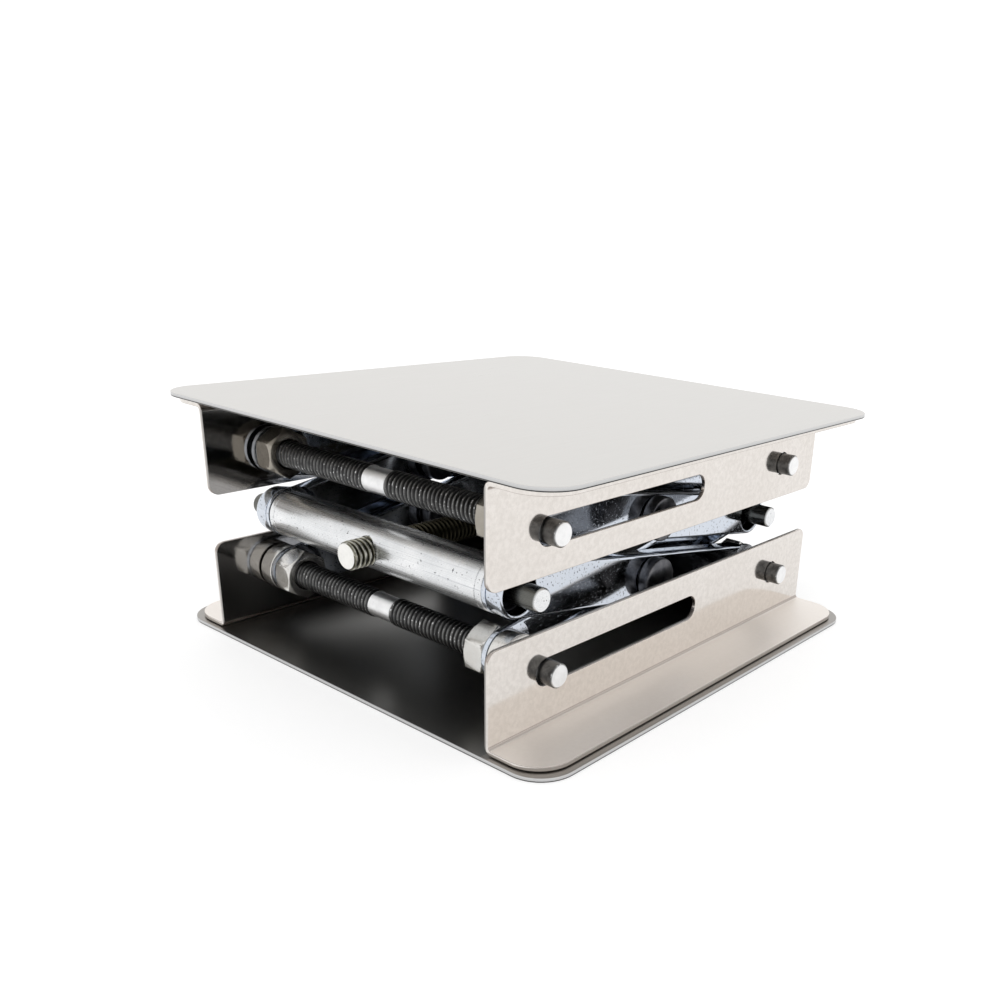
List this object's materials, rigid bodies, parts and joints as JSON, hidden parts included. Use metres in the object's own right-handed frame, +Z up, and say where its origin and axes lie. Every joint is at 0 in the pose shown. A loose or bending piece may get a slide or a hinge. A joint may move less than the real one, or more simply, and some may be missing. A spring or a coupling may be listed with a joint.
{
  "type": "lab jack",
  "caption": "Scissor lab jack with square plates, crossed pressed arms and slotted side brackets, raised by a knob on a horizontal screw; shown lowered.",
  "frame": {"origin": "centre of the base plate's underside, on the bench", "axes": "+Z up; +Y along the drive screw towards its knob; X along the axles, across the two brackets"},
  "size_m": [0.15, 0.179, 0.069],
  "materials": {
    "plate_steel": "fine satin stainless sheet",
    "bracket_steel": "glossy rolled stainless sheet",
    "arm_steel": "bright plated pressed steel",
    "bar_steel": "bright zinc plating with light scratches",
    "rod_steel": "grey threaded steel",
    "fastener_steel": "zinc plated",
    "knob_plastic": "black moulded plastic"
  },
  "bodies": {
    "base": {"base_bracket_left": "bracket_steel", "base_bracket_right": "bracket_steel", "base_plate": "plate_steel", "lower_rear_axle": "rod_steel", "lower_rear_nut_left": "fastener_steel", "lower_rear_nut_right": "fastener_steel"},
    "arms_b": {"arm_b_left": "arm_steel", "arm_b_right": "arm_steel", "lower_rivet_left": "fastener_steel", "lower_rivet_right": "fastener_steel"},
    "arms_a": {"arm_a_left": "arm_steel", "arm_a_right": "arm_steel", "lower_front_axle": "rod_steel", "lower_front_nut_left": "fastener_steel", "lower_front_nut_right": "fastener_steel", "lower_front_spacer_left": "fastener_steel", "lower_front_spacer_right": "fastener_steel"},
    "arms_c": {"arm_c_left": "arm_steel", "arm_c_right": "arm_steel"},
    "arms_d": {"arm_d_left": "arm_steel", "arm_d_right": "arm_steel", "upper_front_axle": "rod_steel", "upper_front_nut_left": "fastener_steel", "upper_front_nut_right": "fastener_steel", "upper_rivet_left": "fastener_steel", "upper_rivet_right": "fastener_steel"},
    "top": {"top_bracket_left": "bracket_steel", "top_bracket_right": "bracket_steel", "top_plate": "plate_steel", "upper_rear_axle": "rod_steel", "upper_rear_nut_left": "fastener_steel", "upper_rear_nut_right": "fastener_steel", "upper_rear_spacer_left": "fastener_steel", "upper_rear_spacer_right": "fastener_steel"},
    "front_bar": {"front_nut_bar": "bar_steel"},
    "rear_bar": {"rear_bearing_bar": "bar_steel"},
    "screw": {"drive_screw": "rod_steel", "knob": "knob_plastic", "knob_bush": "fastener_steel", "knob_nut": "fastener_steel", "thrust_collar_inner": "fastener_steel", "thrust_collar_outer": "fastener_steel"}
  },
  "joints": [
    {"name": "lift", "type": "hinge", "parent": "base", "child": "arms_b", "pos_m": [0, 0.0535, 0.0166], "axis": [-1, 0, 0], "range_deg": [0, 54.8]},
    {"name": "arms_a_turn", "type": "hinge", "parent": "arms_b", "child": "arms_a", "pos_m": [0, 0, 0.02555], "axis": [1, 0, 0], "range_deg": [0, 109.6]},
    {"name": "arms_c_turn", "type": "hinge", "parent": "arms_b", "child": "arms_c", "pos_m": [0, -0.0535, 0.0345], "axis": [1, 0, 0], "range_deg": [0, 109.6]},
    {"name": "arms_d_turn", "type": "hinge", "parent": "arms_c", "child": "arms_d", "pos_m": [0, 0, 0.04345], "axis": [-1, 0, 0], "range_deg": [0, 109.6]},
    {"name": "top_turn", "type": "hinge", "parent": "arms_c", "child": "top", "pos_m": [0, 0.0535, 0.0524], "axis": [-1, 0, 0], "range_deg": [0, 54.8]},
    {"name": "front_bar_turn", "type": "hinge", "parent": "arms_b", "child": "front_bar", "pos_m": [0, -0.0535, 0.0345], "axis": [1, 0, 0], "range_deg": [0, 54.8]},
    {"name": "rear_bar_turn", "type": "hinge", "parent": "arms_a", "child": "rear_bar", "pos_m": [0, 0.0535, 0.0345], "axis": [-1, 0, 0], "range_deg": [0, 54.8]},
    {"name": "screw_turn", "type": "hinge", "parent": "rear_bar", "child": "screw", "pos_m": [-0.0038, 0.0535, 0.0345], "axis": [0, -1, 0], "range_deg": [0, 14400]}
  ],
  "couplings": [
    {"joint": "arms_a_turn", "follows": "lift", "ratio": 2},
    {"joint": "arms_c_turn", "follows": "lift", "ratio": 2},
    {"joint": "arms_d_turn", "follows": "lift", "ratio": 2},
    {"joint": "top_turn", "follows": "lift", "ratio": 1},
    {"joint": "front_bar_turn", "follows": "lift", "ratio": 1},
    {"joint": "rear_bar_turn", "follows": "lift", "ratio": 1},
    {"joint": "screw_turn", "follows": "lift", "ratio": 262.8}
  ]
}
